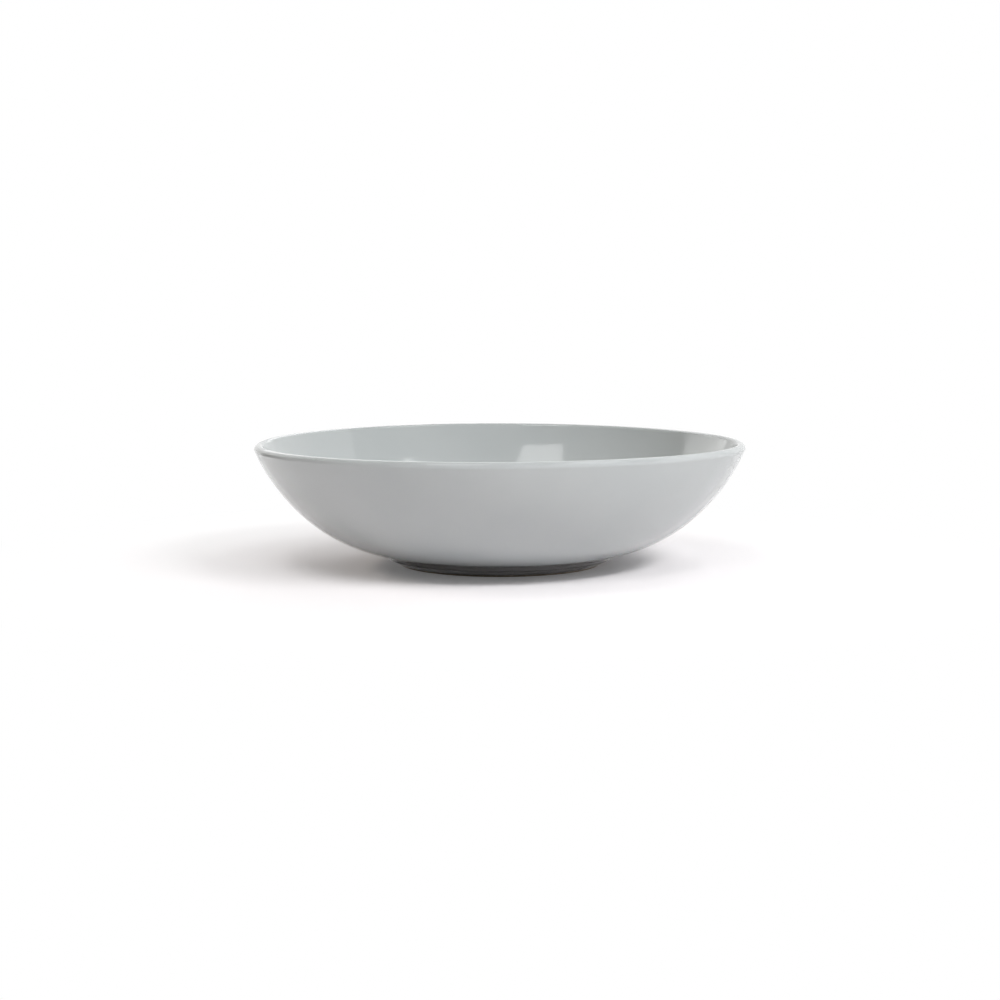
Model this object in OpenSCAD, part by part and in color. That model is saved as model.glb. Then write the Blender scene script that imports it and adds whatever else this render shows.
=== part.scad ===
// A low, round-sided pasta bowl of glazed stoneware, standing on a turned foot ring.
// Every piece is turned about the Z axis, and the foot stands on the plane z = 0.
// Lengths are in millimetres and angles in degrees.

/* [Bowl] */
// Widest diameter, across the round outer edge of the lip
rim_d = 220; // [200:1:250]
// Height from the standing face to the crest of the lip
bowl_h = 55.3; // [46:0.1:62]
// Thickness of the finished wall and floor, with the glaze on both sides
wall_t = 4.2; // [4:0.1:6]
// Diameter of the flat floor
floor_d = 83; // [70:1:95]
// Slope of the wall just under the lip, measured from level
rim_slope = 67; // [60:1:75]
// Slope of the wall where its lower arc runs into its upper arc
turn_slope = 38.5; // [33:0.5:44]

/* [Lip] */
// Radius of the round on the outer edge
edge_r = 1.8; // [1.4:0.1:2]
// Radius of the round on the inner edge
inner_edge_r = 1.9; // [1.4:0.1:2]
// Radius of the crown between the two rounds
crown_r = 2.8; // [2.5:0.1:4]

/* [Foot] */
// Outer diameter of the standing face
foot_d = 90; // [80:1:100]
// Width of the standing face
foot_w = 5; // [3:0.5:8]
// Lean of the outer face, measured from upright
foot_lean = 46; // [30:1:55]
// Lean of the inner face, measured from upright
foot_inner_lean = 15; // [5:1:25]
// Height of the underside of the bowl over the standing face
recess_h = 4.3; // [3.5:0.1:6]
// Height of the clay band that is left bare at the bottom of the foot
bare_h = 1; // [0.5:0.1:1.5]

/* [Glaze] */
// Thickness of the glaze coat
glaze_t = 0.4; // [0.2:0.05:0.6]

/* [Hidden] */

clay_color = "#b7a690";
glaze_color = "#b9bdbd";

// Sides of a turned piece, and how far the outline turns between two of its points
$fn = 128;
wall_turn = 3;
lip_turn = 12;

// Direction from the centre of an arc to the point where the outline runs at a heading
function out(heading) = [sin(heading), -cos(heading)];

function reverse(points) = [for (i = [len(points) - 1:-1:0]) points[i]];

function without_ends(points) = [for (i = [1:len(points) - 2]) points[i]];

// Points of an arc from one heading up to the next, whose own arc starts with the last point
function arc(centre, radius, from, to, turn) =
    let (count = ceil((to - from) / turn))
    [for (i = [0:count - 1]) centre + radius * out(from + (to - from) * i / count)];

// The lip, laid out from the top of the wall's outer face: a round on each edge and a crown
// that both rounds run into.
outward = out(rim_slope);
upward = out(rim_slope + 90);
edge_span = wall_t - edge_r - inner_edge_r;
edge_reach = crown_r - edge_r;
inner_reach = crown_r - inner_edge_r;
crown_side = (edge_reach ^ 2 - inner_reach ^ 2 + edge_span ^ 2) / (2 * edge_span);
crown_drop = sqrt(edge_reach ^ 2 - crown_side ^ 2);
edge_offset = -edge_r * outward;
inner_offset = edge_offset - edge_span * outward;
crown_offset = edge_offset - crown_side * outward - crown_drop * upward;
crown_from = rim_slope + atan2(crown_drop, crown_side);
crown_to = rim_slope + atan2(crown_drop, crown_side - edge_span);
level_heading = 180;
crest_rise = crown_to > level_heading ? crown_offset[1] + crown_r : inner_offset[1] + inner_edge_r;
wall_top = [rim_d / 2 - edge_r * (1 - sin(rim_slope)), bowl_h - crest_rise];

// The wall's two arcs, whose radii carry it from the flat floor to the lip
floor_r = floor_d / 2;
reach = wall_top[0] - floor_r;
rise = wall_top[1] - recess_h;
upper_reach_share = sin(rim_slope) - sin(turn_slope);
upper_rise_share = cos(turn_slope) - cos(rim_slope);
lower_reach_share = sin(turn_slope);
lower_rise_share = 1 - cos(turn_slope);
arc_share = lower_reach_share * upper_rise_share - upper_reach_share * lower_rise_share;
lower_r = (reach * upper_rise_share - rise * upper_reach_share) / arc_share;
upper_r = (rise * lower_reach_share - reach * lower_rise_share) / arc_share;
lower_centre = [floor_r, recess_h + lower_r];
upper_centre = lower_centre + (lower_r - upper_r) * out(turn_slope);

// Outline of the wall at a depth under its outer face, from the end of the flat floor to the lip
function wall_path(depth) = concat(
    arc(lower_centre, lower_r - depth, 0, turn_slope, wall_turn),
    arc(upper_centre, upper_r - depth, turn_slope, rim_slope, wall_turn),
    [wall_top - depth * outward]
);

// Outline of the lip at a depth under its surface, from the outer face to the inner face
function lip_path(depth) = concat(
    arc(wall_top + edge_offset, edge_r - depth, rim_slope, crown_from, lip_turn),
    arc(wall_top + crown_offset, crown_r - depth, crown_from, crown_to, lip_turn),
    arc(wall_top + inner_offset, inner_edge_r - depth, crown_to, rim_slope + level_heading, lip_turn),
    [wall_top - (wall_t - depth) * outward]
);

// Radius of the foot's outer and inner faces at a height, under a skin of glaze
function foot_outer(z, skin) = foot_d / 2 + z * tan(foot_lean) + skin / cos(foot_lean);
function foot_inner(z, skin) = foot_d / 2 - foot_w - z * tan(foot_inner_lean) - skin / cos(foot_inner_lean);

// Height inside the floor that the foot's faces run up to before the bowl cuts them off
foot_top = recess_h + wall_t;

// Everything over the underside of the bowl, at a depth under its outer face
module over_underside(depth) {
    polygon(concat([[0, recess_h + depth]], wall_path(depth), [[0, bowl_h]]));
}

// Everything inside the foot's outer face, and everything inside its inner face
module within_foot(skin) {
    polygon([[0, 0], [foot_outer(0, skin), 0], [foot_outer(foot_top, skin), foot_top], [0, foot_top]]);
}

module within_recess(skin) {
    polygon([[0, 0], [foot_inner(0, skin), 0], [foot_inner(foot_top, skin), foot_top], [0, foot_top]]);
}

// The band at the bottom of the foot that carries no glaze
module bare_band() {
    square([foot_outer(bare_h, glaze_t), bare_h]);
}

module bowl_body() {
    color(clay_color)
    rotate_extrude()
    polygon(concat(
        [[0, recess_h + glaze_t]],
        wall_path(glaze_t),
        without_ends(lip_path(glaze_t)),
        reverse(wall_path(wall_t - glaze_t)),
        [[0, recess_h + wall_t - glaze_t]]
    ));
}

module foot_ring() {
    color(clay_color)
    rotate_extrude()
    difference() {
        within_foot(0);
        within_recess(0);
        over_underside(glaze_t);
    }
}

module inner_glaze() {
    color(glaze_color)
    rotate_extrude()
    polygon(concat(
        [[0, recess_h + wall_t]],
        wall_path(wall_t),
        reverse(wall_path(wall_t - glaze_t)),
        [[0, recess_h + wall_t - glaze_t]]
    ));
}

module rim_glaze() {
    color(glaze_color)
    rotate_extrude()
    polygon(concat(lip_path(0), reverse(lip_path(glaze_t))));
}

module outer_glaze() {
    color(glaze_color)
    rotate_extrude()
    difference() {
        polygon(concat(wall_path(0), reverse(wall_path(glaze_t))));
        within_foot(glaze_t);
    }
}

module foot_glaze() {
    color(glaze_color)
    rotate_extrude()
    difference() {
        within_foot(glaze_t);
        within_foot(0);
        over_underside(glaze_t);
        bare_band();
    }
}

module base_glaze() {
    color(glaze_color)
    rotate_extrude()
    difference() {
        within_recess(0);
        over_underside(glaze_t);
        bare_band();
        difference() {
            within_recess(glaze_t);
            over_underside(0);
        }
    }
}

bowl_body();
foot_ring();
inner_glaze();
rim_glaze();
outer_glaze();
foot_glaze();
base_glaze();
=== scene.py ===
# A low pasta bowl of pale grey glazed stoneware, standing on a white table in soft studio light.
# Lengths are in metres and angles in degrees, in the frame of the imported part: the bowl stands
# on z = 0, is turned about the Z axis, and -Y is its front.
import math

import bmesh
import bpy
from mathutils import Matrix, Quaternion, Vector


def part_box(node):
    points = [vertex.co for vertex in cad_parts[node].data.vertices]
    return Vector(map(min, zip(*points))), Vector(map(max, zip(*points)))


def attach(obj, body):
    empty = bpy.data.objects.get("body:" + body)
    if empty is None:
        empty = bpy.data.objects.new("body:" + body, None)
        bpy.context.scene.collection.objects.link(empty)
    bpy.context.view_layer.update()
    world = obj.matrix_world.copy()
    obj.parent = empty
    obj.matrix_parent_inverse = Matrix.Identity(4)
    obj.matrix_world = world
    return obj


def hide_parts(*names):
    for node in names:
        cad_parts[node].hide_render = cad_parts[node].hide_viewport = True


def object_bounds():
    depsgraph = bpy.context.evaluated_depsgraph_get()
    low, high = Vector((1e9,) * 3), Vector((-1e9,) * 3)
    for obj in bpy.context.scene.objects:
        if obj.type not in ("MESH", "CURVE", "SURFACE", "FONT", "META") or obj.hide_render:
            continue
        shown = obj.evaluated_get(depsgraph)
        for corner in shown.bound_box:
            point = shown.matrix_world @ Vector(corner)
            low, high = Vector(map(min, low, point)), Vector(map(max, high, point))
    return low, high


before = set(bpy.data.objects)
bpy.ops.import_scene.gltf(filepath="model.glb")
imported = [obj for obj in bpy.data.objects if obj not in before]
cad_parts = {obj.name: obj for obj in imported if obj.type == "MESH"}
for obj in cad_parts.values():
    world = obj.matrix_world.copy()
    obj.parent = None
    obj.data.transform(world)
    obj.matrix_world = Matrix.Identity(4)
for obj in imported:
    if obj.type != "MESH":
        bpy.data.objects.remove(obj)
cad_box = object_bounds()

MM = 0.001

# Sizes of the bowl that the frame gives, and those that drive its outline
GLAZE_T = 0.4 * MM
RIM_R = cad_box[1].x
BOWL_H = cad_box[1].z
RECESS_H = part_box("bowl_body")[0].z - GLAZE_T
WALL_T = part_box("inner_glaze")[0].z + GLAZE_T - RECESS_H
BARE_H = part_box("foot_glaze")[0].z
FLOOR_R = 41.5 * MM
RIM_SLOPE = 67
TURN_SLOPE = 38.5
EDGE_R = 1.8 * MM
INNER_EDGE_R = 1.9 * MM
CROWN_R = 2.8 * MM
FOOT_R = 45 * MM
FOOT_W = 5 * MM
FOOT_LEAN = 46
FOOT_INNER_LEAN = 15

# Forms that only the looks have: glaze that pools in corners and rolls over at its lower edges,
# the rubbed edges of the bare ring, and a rim that settled a little in the kiln. The rim leans
# by a slope and bows by a height, each about its own direction.
POOL_R = 1.2 * MM
ROLL_R = GLAZE_T / 2
RUBBED_R = 0.5 * MM
RIM_LEAN = 0.0027
LEAN_AT = 25
RIM_BOW = 0.36 * MM
BOW_AT = 17

# Fineness of the meshes: the sides of a turned piece, how far an outline turns between two points,
# and how far it has to turn at a point for a corner that stays sharp
SIDES = 288
WALL_TURN = 1.0
HIDDEN_TURN = 3.0
LIP_TURN = 5.0
CORNER_TURN = 30.0

# The glaze: the two colours that it clouds between, and the two darker ones on the foot that are
# painted shade, the scale and span of its clouds, its fine ripple, its least and greatest
# roughness, and its index of refraction
GLAZE_COLORS = [(0.431, 0.456, 0.458, 1), (0.457, 0.480, 0.480, 1)]
# Painted shade: the foot's glaze is darker than the rest, standing in for the shade under the bowl
FOOT_SHADE_COLORS = [(0.23, 0.222, 0.217, 1), (0.275, 0.266, 0.26, 1)]
CLOUD_SCALE = 22
CLOUD_SPAN = (0.3, 0.7)
RIPPLE_SCALE = 260
RIPPLE_H = 0.5 * MM
RIPPLE_STRENGTH = 0.02
GLAZE_ROUGHNESS = (0.06, 0.12)
GLAZE_IOR = 1.5

# The bare clay: its two colours, the scale and span of its grain, how high and how strongly the
# grain stands out, and its roughness
CLAY_COLORS = [(0.42, 0.35, 0.28, 1), (0.58, 0.50, 0.42, 1)]
GRAIN_SCALE = 1400
GRAIN_SPAN = (0.35, 0.65)
GRAIN_H = 0.3 * MM
GRAIN_STRENGTH = 0.4
CLAY_ROUGHNESS = 0.85

# The table: half its width, the paper's colour, the distances from the bowl's axis over which the
# shadow on it fades to plain white, and the share of plain white that is there from the start
TABLE_HALF = 6.0
PAPER = (0.94, 0.911, 0.927, 1)
SHADOW_R = 0.05
PLAIN_R = 0.25
SHADOW_LIFT = 0.1

# A dark card that stands off the left side of the bowl: the places of its two ends, the heights of
# its top there, the height of its lower edge, and its colour
FLAG_ENDS = [(-0.31, -0.32), (-0.25, 0.175)]
FLAG_TOPS = [0.19, 0.085]
FLAG_LOW = 0.004
FLAG_COLOR = (0.04, 0.04, 0.04, 1)

# How high the white backdrop stands all round, as the upward part of a direction
BACKDROP_RISE = 0.25

# The white screen behind the bowl: how much higher its top stands for a direction's way back and
# to the right, and how much lower for its way to the left
SCREEN_BACK = 1.21
SCREEN_RIGHT = 0.6
SCREEN_LEFT = 0.2

# Half the width of the soft top edge of backdrop and screen
SOFT_EDGE = 0.02

# Lamps that only fill: their distance, and their width and height
FILL_DISTANCE = 1.6
FILL_SIZE = (0.8, 0.2)

# Tints of light: neutral, and as it comes back off the room on the left
NEUTRAL = (1, 1, 1)
WARM = (1, 0.89, 0.76)

# The camera: its lens and its film's width in millimetres, its place, and how far down it looks
LENS_MM = 73.56
FILM_MM = 36
CAMERA_PLACE = (0.0001, -0.9183, 0.1285)
CAMERA_DIP = 6.211


# Sine, cosine and tangent of an angle in degrees
def sin(angle):
    return math.sin(math.radians(angle))


def cos(angle):
    return math.cos(math.radians(angle))


def tan(angle):
    return math.tan(math.radians(angle))


def out(heading):
    """Direction from the centre of an arc to the point where the outline runs at a heading."""
    return Vector((sin(heading), -cos(heading)))


def arc(centre, radius, start, end, turn):
    """Points of an arc between two headings, both ends among them."""
    count = math.ceil(abs(end - start) / turn)
    return [centre + radius * out(start + (end - start) * i / count) for i in range(count + 1)]


def heading(centre, point):
    """Heading of an arc about a centre where it passes a point."""
    side = point - centre
    return math.degrees(math.atan2(side.x, -side.y))


def rounded(before, corner, after, radius):
    """Points of a round that replaces a corner of an outline."""
    back = (before - corner).normalized()
    ahead = (after - corner).normalized()
    half = back.angle(ahead) / 2
    centre = corner + (back + ahead).normalized() * radius / math.sin(half)
    start = heading(centre, corner + back * radius / math.tan(half))
    end = heading(centre, corner + ahead * radius / math.tan(half))
    turn = (end - start + 180) % 360 - 180
    return arc(centre, radius, start, start + turn, LIP_TURN)


# The lip, laid out from the top of the wall's outer face, with its crest on the inner edge's round
OUTWARD = out(RIM_SLOPE)
UPWARD = out(RIM_SLOPE + 90)
EDGE_SPAN = WALL_T - EDGE_R - INNER_EDGE_R
EDGE_REACH = CROWN_R - EDGE_R
INNER_REACH = CROWN_R - INNER_EDGE_R
CROWN_SIDE = (EDGE_REACH**2 - INNER_REACH**2 + EDGE_SPAN**2) / (2 * EDGE_SPAN)
CROWN_DROP = math.sqrt(EDGE_REACH**2 - CROWN_SIDE**2)
CROWN_FROM = RIM_SLOPE + math.degrees(math.atan2(CROWN_DROP, CROWN_SIDE))
CROWN_TO = RIM_SLOPE + math.degrees(math.atan2(CROWN_DROP, CROWN_SIDE - EDGE_SPAN))
INNER_OFFSET = -(EDGE_R + EDGE_SPAN) * OUTWARD
WALL_TOP = Vector((RIM_R - EDGE_R * (1 - sin(RIM_SLOPE)), BOWL_H - INNER_OFFSET.y - INNER_EDGE_R))
EDGE_CENTRE = WALL_TOP - EDGE_R * OUTWARD
CROWN_CENTRE = EDGE_CENTRE - CROWN_SIDE * OUTWARD - CROWN_DROP * UPWARD
INNER_CENTRE = WALL_TOP + INNER_OFFSET

# The wall's two arcs, whose radii carry it from the flat floor to the lip
REACH = WALL_TOP.x - FLOOR_R
RISE = WALL_TOP.y - RECESS_H
UPPER_REACH_SHARE = sin(RIM_SLOPE) - sin(TURN_SLOPE)
UPPER_RISE_SHARE = cos(TURN_SLOPE) - cos(RIM_SLOPE)
LOWER_REACH_SHARE = sin(TURN_SLOPE)
LOWER_RISE_SHARE = 1 - cos(TURN_SLOPE)
ARC_SHARE = LOWER_REACH_SHARE * UPPER_RISE_SHARE - UPPER_REACH_SHARE * LOWER_RISE_SHARE
LOWER_R = (REACH * UPPER_RISE_SHARE - RISE * UPPER_REACH_SHARE) / ARC_SHARE
UPPER_R = (RISE * LOWER_REACH_SHARE - REACH * LOWER_RISE_SHARE) / ARC_SHARE
LOWER_CENTRE = Vector((FLOOR_R, RECESS_H + LOWER_R))
UPPER_CENTRE = LOWER_CENTRE + (LOWER_R - UPPER_R) * out(TURN_SLOPE)


def wall_path(depth, turn, start=0):
    """The wall at a depth under its outer face, from a heading on its lower arc up to the lip."""
    lower = arc(LOWER_CENTRE, LOWER_R - depth, start, TURN_SLOPE, turn)
    upper = arc(UPPER_CENTRE, UPPER_R - depth, TURN_SLOPE, RIM_SLOPE, turn)
    return lower + upper[1:]


def lip_path(depth):
    """The lip at a depth under its surface, from the wall's outer face to its inner face."""
    edge = arc(EDGE_CENTRE, EDGE_R - depth, RIM_SLOPE, CROWN_FROM, LIP_TURN)
    crown = arc(CROWN_CENTRE, CROWN_R - depth, CROWN_FROM, CROWN_TO, LIP_TURN)
    inner = arc(INNER_CENTRE, INNER_EDGE_R - depth, CROWN_TO, RIM_SLOPE + 180, LIP_TURN)
    return edge + crown[1:] + inner[1:]


def foot_outer(z, skin):
    """Radius of the foot's outer face at a height, under a skin."""
    return FOOT_R + z * tan(FOOT_LEAN) + skin / cos(FOOT_LEAN)


def foot_inner(z, skin):
    """Radius of the foot's inner face at a height, under a skin."""
    return FOOT_R - FOOT_W - z * tan(FOOT_INNER_LEAN) - skin / cos(FOOT_INNER_LEAN)


def foot_meets(skin, depth):
    """Where the foot's outer face, under a skin, meets the wall at a depth under its outer face."""
    lean = tan(FOOT_LEAN)
    side = foot_outer(LOWER_CENTRE.y, skin) - LOWER_CENTRE.x
    a = 1 + lean**2
    b = side * lean
    c = side**2 - (LOWER_R - depth) ** 2
    z = LOWER_CENTRE.y - (b + math.sqrt(b**2 - a * c)) / a
    return Vector((foot_outer(z, skin), z))


def settled(radius, angle, height):
    """A point of a turned piece, once the rim has settled."""
    lean = RIM_LEAN * radius * cos(angle - LEAN_AT)
    bow = RIM_BOW * cos(2 * (angle - BOW_AT))
    lift = (lean - bow) * (height / BOWL_H) ** 2
    return (radius * cos(angle), radius * sin(angle), height + lift)


def placed(name, data):
    """An object in the scene, made of a mesh, a lamp or a camera."""
    item = bpy.data.objects.new(name, data)
    bpy.context.scene.collection.objects.link(item)
    return item


def shares(outline):
    """How far round a closed outline each point lies, from 0 at the first to 1 back at it."""
    ends = outline[1:] + outline[:1]
    lengths = [(b - a).length for a, b in zip(outline, ends)]
    total = sum(lengths)
    return [sum(lengths[:i]) / total for i in range(len(outline) + 1)]


def turned_point(mesh, point):
    """What a point of an outline makes when it is turned: a ring of points, or one on the axis."""
    steps = 1 if point.x == 0 else SIDES
    return [mesh.verts.new(settled(point.x, 360 * j / SIDES, point.y)) for j in range(steps)]


def join_rings(mesh, rings, uv, along):
    """Faces between each ring and the next. In the UV map they lie by angle and by share."""
    for i, low in enumerate(rings):
        high = rings[(i + 1) % len(rings)]
        if len(low) == len(high) == 1:
            continue
        for j in range(SIDES):
            corners = [(low, i, j), (low, i, j + 1), (high, i + 1, j + 1), (high, i + 1, j)]
            if len(low) == 1:
                corners.pop(0)
            elif len(high) == 1:
                corners.pop()
            face = mesh.faces.new([ring[k % len(ring)] for ring, _, k in corners])
            face.smooth = True
            for loop, (_, row, k) in zip(face.loops, corners):
                loop[uv].uv = (k / SIDES, along[row])


def sharpen(mesh, rings, outline):
    """Keeps the edge of each ring sharp where the outline turns a corner."""
    for i, ring in enumerate(rings):
        before = outline[i] - outline[i - 1]
        after = outline[(i + 1) % len(outline)] - outline[i]
        if len(ring) > 1 and math.degrees(before.angle(after)) > CORNER_TURN:
            for j in range(SIDES):
                mesh.edges.get((ring[j - 1], ring[j])).smooth = False


def turned(name, outline):
    """A closed mesh, turned about Z from a closed outline, with a UV map for baking."""
    mesh = bmesh.new()
    uv = mesh.loops.layers.uv.new("OFBake")
    rings = [turned_point(mesh, point) for point in outline]
    join_rings(mesh, rings, uv, shares(outline))
    sharpen(mesh, rings, outline)
    bmesh.ops.recalc_face_normals(mesh, faces=mesh.faces)
    data = bpy.data.meshes.new(name)
    mesh.to_mesh(data)
    mesh.free()
    return placed(name, data)


def clay_body():
    """The stoneware shell under the glaze."""
    return turned(
        "clay_body",
        [Vector((0, RECESS_H + GLAZE_T))]
        + wall_path(GLAZE_T, HIDDEN_TURN)
        + lip_path(GLAZE_T)[1:-1]
        + wall_path(WALL_T - GLAZE_T, HIDDEN_TURN)[::-1]
        + [Vector((0, RECESS_H + WALL_T - GLAZE_T))],
    )


def glaze_inside():
    """The coat over the floor and the inside of the wall."""
    return turned(
        "glaze_inside",
        [Vector((0, RECESS_H + WALL_T))]
        + wall_path(WALL_T, WALL_TURN)
        + wall_path(WALL_T - GLAZE_T, HIDDEN_TURN)[::-1]
        + [Vector((0, RECESS_H + WALL_T - GLAZE_T))],
    )


def glaze_lip():
    """The coat over the lip."""
    return turned("glaze_lip", lip_path(0) + lip_path(GLAZE_T)[::-1])


def glaze_outside():
    """The coat on the outside of the wall, from the pool at the foot to the lip."""
    pool = heading(LOWER_CENTRE, foot_meets(GLAZE_T + POOL_R, -POOL_R))
    return turned(
        "glaze_outside",
        wall_path(0, WALL_TURN, pool) + wall_path(GLAZE_T, HIDDEN_TURN, pool)[::-1],
    )


def clay_foot():
    """The stoneware ring that the bowl stands on, with its lower edges rubbed round."""
    ceiling = RECESS_H + GLAZE_T
    top = foot_meets(0, GLAZE_T)
    inner_top = Vector((foot_inner(ceiling, 0), ceiling))
    inner_edge = Vector((foot_inner(0, 0), 0))
    outer_edge = Vector((foot_outer(0, 0), 0))
    return turned(
        "clay_foot",
        rounded(inner_top, inner_edge, outer_edge, RUBBED_R)
        + rounded(inner_edge, outer_edge, top, RUBBED_R)
        + [top, Vector((FLOOR_R, ceiling)), inner_top],
    )


def glaze_foot():
    """The coat on the foot's outer face, from its rolled edge to the pool under the wall."""
    pool_centre = foot_meets(GLAZE_T + POOL_R, -POOL_R)
    pool_end = heading(LOWER_CENTRE, pool_centre)
    pool = arc(pool_centre, POOL_R, 360 - FOOT_LEAN, 180 + pool_end, LIP_TURN)
    bare_edge = Vector((foot_outer(BARE_H, 0), BARE_H))
    roll_edge = Vector((foot_outer(BARE_H, GLAZE_T), BARE_H))
    return turned(
        "glaze_foot",
        [bare_edge]
        + rounded(bare_edge, roll_edge, pool[0], ROLL_R)
        + pool
        + [LOWER_CENTRE + (LOWER_R - GLAZE_T) * out(pool_end), foot_meets(0, GLAZE_T)],
    )


def glaze_base():
    """The coat in the recess under the bowl, from its middle to its rolled edge on the foot."""
    high = RECESS_H + GLAZE_T
    middle = Vector((0, RECESS_H))
    corner = Vector((foot_inner(RECESS_H, GLAZE_T), RECESS_H))
    roll_edge = Vector((foot_inner(BARE_H, GLAZE_T), BARE_H))
    bare_edge = Vector((foot_inner(BARE_H, 0), BARE_H))
    return turned(
        "glaze_base",
        [middle]
        + rounded(middle, corner, roll_edge, POOL_R)
        + rounded(corner, roll_edge, bare_edge, ROLL_R)
        + [bare_edge, Vector((foot_inner(high, 0), high)), Vector((0, high))],
    )


class Nodes:
    """A node tree that is wired while its nodes are made."""

    def __init__(self, tree):
        self.tree = tree
        tree.nodes.clear()

    def put(self, socket, value):
        """Sets an input to a value, or links it to another node's output."""
        if isinstance(value, bpy.types.NodeSocket):
            self.tree.links.new(value, socket)
        else:
            socket.default_value = value

    def add(self, kind, settings=None, **inputs):
        """A node, with inputs by their names, in which _ stands for a space."""
        node = self.tree.nodes.new(kind)
        for name, value in (settings or {}).items():
            setattr(node, name, value)
        for name, value in inputs.items():
            self.put(node.inputs[name.replace("_", " ")], value)
        return node

    def math(self, operation, *values):
        """Result of an operation on values."""
        node = self.add("ShaderNodeMath", {"operation": operation})
        for socket, value in zip(node.inputs, values):
            self.put(socket, value)
        return node.outputs["Value"]

    def noise(self, place, scale, detail):
        """Soft noise between 0 and 1, finer with a greater scale."""
        node = self.add("ShaderNodeTexNoise", Vector=place, Scale=scale, Detail=detail)
        return node.outputs["Fac"]

    def ramp(self, value, span, colors):
        """Colour that runs between two colours while value runs over a span."""
        node = self.add("ShaderNodeValToRGB", Fac=value)
        for element, position, color in zip(node.color_ramp.elements, span, colors):
            element.position = position
            element.color = color
        return node.outputs["Color"]

    def bump(self, height, strength, distance):
        """Normal of a surface that height lifts by up to a distance."""
        node = self.add("ShaderNodeBump", Height=height, Strength=strength, Distance=distance)
        return node.outputs["Normal"]

    def fade(self, value, start, end, low, high):
        """Runs smoothly from low to high while value runs from start to end."""
        node = self.add(
            "ShaderNodeMapRange",
            {"interpolation_type": "SMOOTHSTEP"},
            Value=value,
            From_Min=start,
            From_Max=end,
            To_Min=low,
            To_Max=high,
        )
        return node.outputs["Result"]

    def under(self, value, edge):
        """1 where value is under an edge and 0 where it is over it, with a soft step between."""
        return self.fade(self.math("SUBTRACT", edge, value), -SOFT_EDGE, SOFT_EDGE, 0, 1)

    def shown(self):
        """1 for a ray that shows the surface, in gloss and glass too, and 0 for a ray of light."""
        path = self.add("ShaderNodeLightPath").outputs
        mirrored = self.math("MAXIMUM", path["Is Glossy Ray"], path["Is Transmission Ray"])
        return self.math("MAXIMUM", path["Is Camera Ray"], mirrored)


def new_material(name):
    """An empty material, and the nodes that it is to be made of."""
    material = bpy.data.materials.new(name)
    material.use_nodes = True
    return material, Nodes(material.node_tree)


def glaze_material(name, colors):
    """Gloss glaze that clouds a little between two colours."""
    material, nodes = new_material(name)
    place = nodes.add("ShaderNodeTexCoord").outputs["Object"]
    cloud = nodes.noise(place, CLOUD_SCALE, detail=3)
    ripple = nodes.noise(place, RIPPLE_SCALE, detail=2)
    smooth, rough = GLAZE_ROUGHNESS
    gloss = nodes.add("ShaderNodeMapRange", Value=cloud, To_Min=smooth, To_Max=rough)
    shader = nodes.add(
        "ShaderNodeBsdfPrincipled",
        Base_Color=nodes.ramp(cloud, CLOUD_SPAN, colors),
        Roughness=gloss.outputs["Result"],
        IOR=GLAZE_IOR,
        Normal=nodes.bump(ripple, RIPPLE_STRENGTH, RIPPLE_H),
    )
    nodes.add("ShaderNodeOutputMaterial", Surface=shader.outputs["BSDF"])
    return material


def clay_material():
    """Bare fired clay: buff, matt and grainy."""
    material, nodes = new_material("stoneware")
    place = nodes.add("ShaderNodeTexCoord").outputs["Object"]
    grain = nodes.noise(place, GRAIN_SCALE, detail=4)
    shader = nodes.add(
        "ShaderNodeBsdfPrincipled",
        Base_Color=nodes.ramp(grain, GRAIN_SPAN, CLAY_COLORS),
        Roughness=CLAY_ROUGHNESS,
        Normal=nodes.bump(grain, GRAIN_STRENGTH, GRAIN_H),
    )
    nodes.add("ShaderNodeOutputMaterial", Surface=shader.outputs["BSDF"])
    return material


def paper_material():
    """White paper that keeps the bowl's shadow, and further off shows as plain white."""
    material, nodes = new_material("table_paper")
    place = nodes.add("ShaderNodeTexCoord").outputs["Object"]
    distance = nodes.add("ShaderNodeVectorMath", {"operation": "LENGTH"}, Vector=place)
    plain = nodes.fade(distance.outputs["Value"], SHADOW_R, PLAIN_R, SHADOW_LIFT, 1)
    white_share = nodes.math("MULTIPLY", nodes.shown(), plain)
    paper = nodes.add("ShaderNodeBsdfDiffuse", Color=PAPER)
    white = nodes.add("ShaderNodeEmission", Strength=1)
    mix = nodes.add("ShaderNodeMixShader", Fac=white_share)
    nodes.put(mix.inputs[1], paper.outputs["BSDF"])
    nodes.put(mix.inputs[2], white.outputs["Emission"])
    nodes.add("ShaderNodeOutputMaterial", Surface=mix.outputs["Shader"])
    return material


def card_material():
    """Dark matt card."""
    material, nodes = new_material("flag_card")
    card = nodes.add("ShaderNodeBsdfDiffuse", Color=FLAG_COLOR)
    nodes.add("ShaderNodeOutputMaterial", Surface=card.outputs["BSDF"])
    return material


def panel(name, corners, material):
    """A flat sheet between its corners."""
    data = bpy.data.meshes.new(name)
    data.from_pydata(corners, [], [range(len(corners))])
    data.materials.append(material)
    return placed(name, data)


def table_top():
    """The table under the bowl."""
    signs = [(-1, -1), (1, -1), (1, 1), (-1, 1)]
    corners = [(x * TABLE_HALF, y * TABLE_HALF, 0) for x, y in signs]
    table = panel("table", corners, paper_material())


def dark_flag():
    """A card that shows in the gloss alone, as the dark line along the left of the lip."""
    low = [(x, y, FLAG_LOW) for x, y in FLAG_ENDS]
    high = [(x, y, top) for (x, y), top in zip(FLAG_ENDS, FLAG_TOPS)]
    flag = panel("flag", low + high[::-1], card_material())
    flag.visible_camera = False
    flag.visible_diffuse = False
    flag.visible_shadow = False


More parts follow.
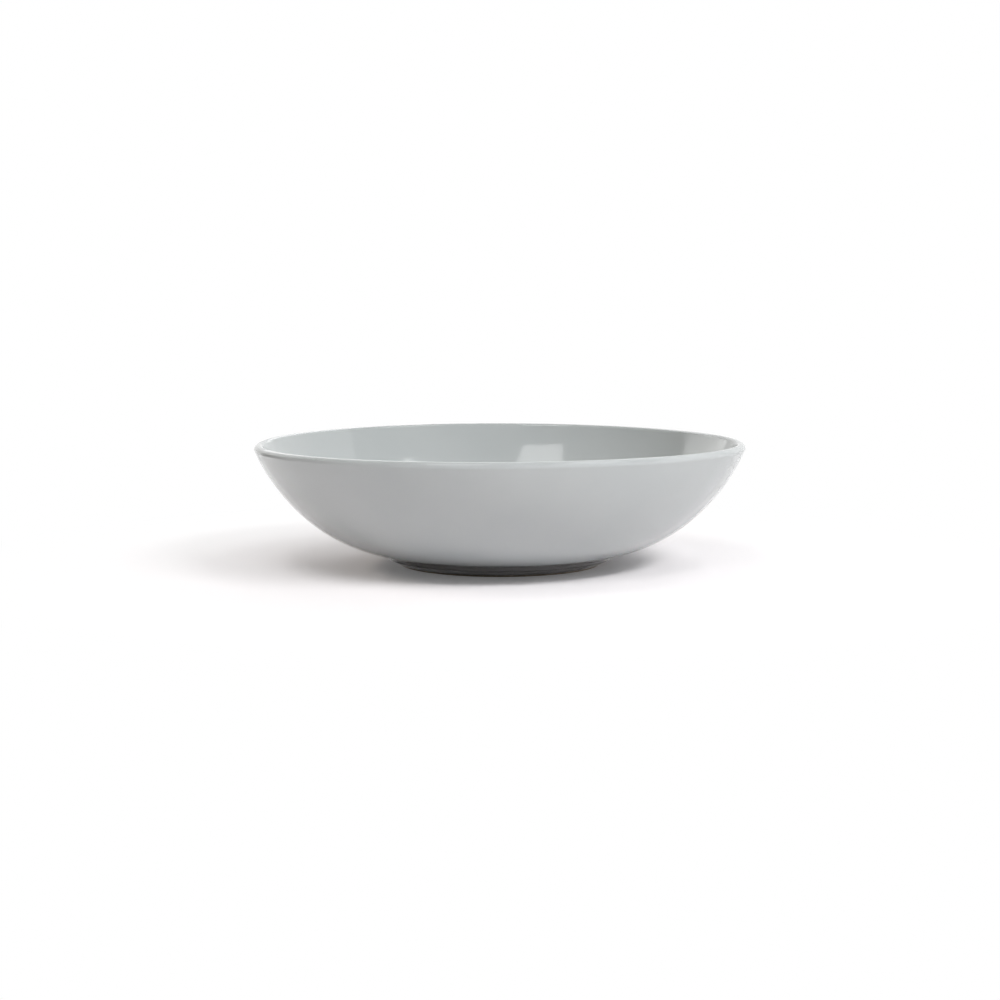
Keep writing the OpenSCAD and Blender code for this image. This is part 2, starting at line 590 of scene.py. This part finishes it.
def softbox(name, place, size, radiance, roll=0, tint=NEUTRAL, mirrored=True):
    """A lamp that faces the bowl, with its width and height as its size.

    Its place is an azimuth, an elevation and a distance from the middle of the rim. Azimuth 0 is
    in front of the bowl and 90 on its right.
    """
    azimuth, elevation, distance = place
    width, height = size
    lamp = bpy.data.lights.new(name, "AREA")
    lamp.shape = "RECTANGLE"
    lamp.size = width
    lamp.size_y = height
    lamp.energy = radiance * math.pi * width * height
    lamp.color = tint
    away = Vector((sin(azimuth) * cos(elevation), -cos(azimuth) * cos(elevation), sin(elevation)))
    facing = away.to_track_quat("Z", "Y") @ Quaternion((0, 0, 1), math.radians(roll))
    box = placed(name, lamp)
    box.location = away * distance + Vector((0, 0, BOWL_H))
    box.rotation_euler = facing.to_euler()
    box.visible_camera = False
    box.visible_glossy = mirrored


def fill(name, azimuth, elevation, radiance, tint=NEUTRAL):
    """A softbox that lights the bowl but doesn't show in its gloss."""
    place = (azimuth, elevation, FILL_DISTANCE)
    softbox(name, place, FILL_SIZE, radiance, tint=tint, mirrored=False)


def studio_light():
    """Fills, windows that show in the gloss, and two small bright cards close behind the bowl."""
    fill("front_fill", azimuth=45, elevation=38, radiance=34.0)
    fill("top_fill", azimuth=0, elevation=46, radiance=13.0)
    fill("left_fill", azimuth=-110, elevation=28, radiance=10.5, tint=WARM)
    softbox("left_window", place=(-40, 66.5, 2.56), size=(0.764, 1.1), radiance=3.9, roll=22)
    softbox("right_window", place=(88, 64, 2.6), size=(0.7, 0.8), radiance=4.2)
    softbox("back_window", place=(180, 38, 2.5), size=(1.4, 0.8), radiance=1.2)
    softbox("near_card", place=(-153, 20.6, 0.256), size=(0.165, 0.068), radiance=0.95)
    softbox("low_card", place=(-173.2, 10.05, 0.266), size=(0.05, 0.024), radiance=0.95)


def studio_world():
    """A white backdrop all round that only shows, and a white screen behind that also lights."""
    world = bpy.data.worlds.new("studio")
    world.use_nodes = True
    bpy.context.scene.world = world
    nodes = Nodes(world.node_tree)
    direction = nodes.add("ShaderNodeTexCoord").outputs["Generated"]
    side, depth, rise = nodes.add("ShaderNodeSeparateXYZ", Vector=direction).outputs
    right = nodes.math("MULTIPLY", side, SCREEN_RIGHT)
    left = nodes.math("MULTIPLY", side, SCREEN_LEFT)
    back = nodes.math("MULTIPLY", depth, SCREEN_BACK)
    screen_top = nodes.math("ADD", back, nodes.math("MAXIMUM", right, left))
    screen = nodes.under(rise, screen_top)
    backdrop = nodes.math("MULTIPLY", nodes.shown(), nodes.under(rise, BACKDROP_RISE))
    white = nodes.math("MAXIMUM", screen, backdrop)
    light = nodes.add("ShaderNodeBackground", Color=(1, 1, 1, 1), Strength=white)
    nodes.add("ShaderNodeOutputWorld", Surface=light.outputs["Background"])


def photo_camera():
    """The camera at the photograph's viewing angle."""
    lens = bpy.data.cameras.new("camera")
    lens.sensor_width = FILM_MM
    lens.lens = LENS_MM
    camera = placed("camera", lens)
    camera.location = CAMERA_PLACE
    camera.rotation_euler = (math.radians(90 - CAMERA_DIP), 0, 0)
    bpy.context.scene.camera = camera


GLAZE = glaze_material("glaze", GLAZE_COLORS)
# The foot's glaze carries painted shade: its darker colours stand in for the shade under the bowl
SHADED_FOOT_GLAZE = glaze_material("painted_shade_foot_glaze", FOOT_SHADE_COLORS)
CLAY = clay_material()
PIECES = [
    (clay_body, "bowl_body", "stoneware", CLAY),
    (clay_foot, "foot_ring", "stoneware", CLAY),
    (glaze_inside, "inner_glaze", "glaze", GLAZE),
    (glaze_lip, "rim_glaze", "glaze", GLAZE),
    (glaze_outside, "outer_glaze", "glaze", GLAZE),
    (glaze_foot, "foot_glaze", "glaze", SHADED_FOOT_GLAZE),
    (glaze_base, "base_glaze", "glaze", GLAZE),
]
for make, node, slot, material in PIECES:
    piece = make()
    piece.data.materials.append(material)
    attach(piece, "root")
    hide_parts(node)

table_top()
dark_flag()
studio_light()
studio_world()
photo_camera()
bpy.context.scene.view_settings.view_transform = "Standard"
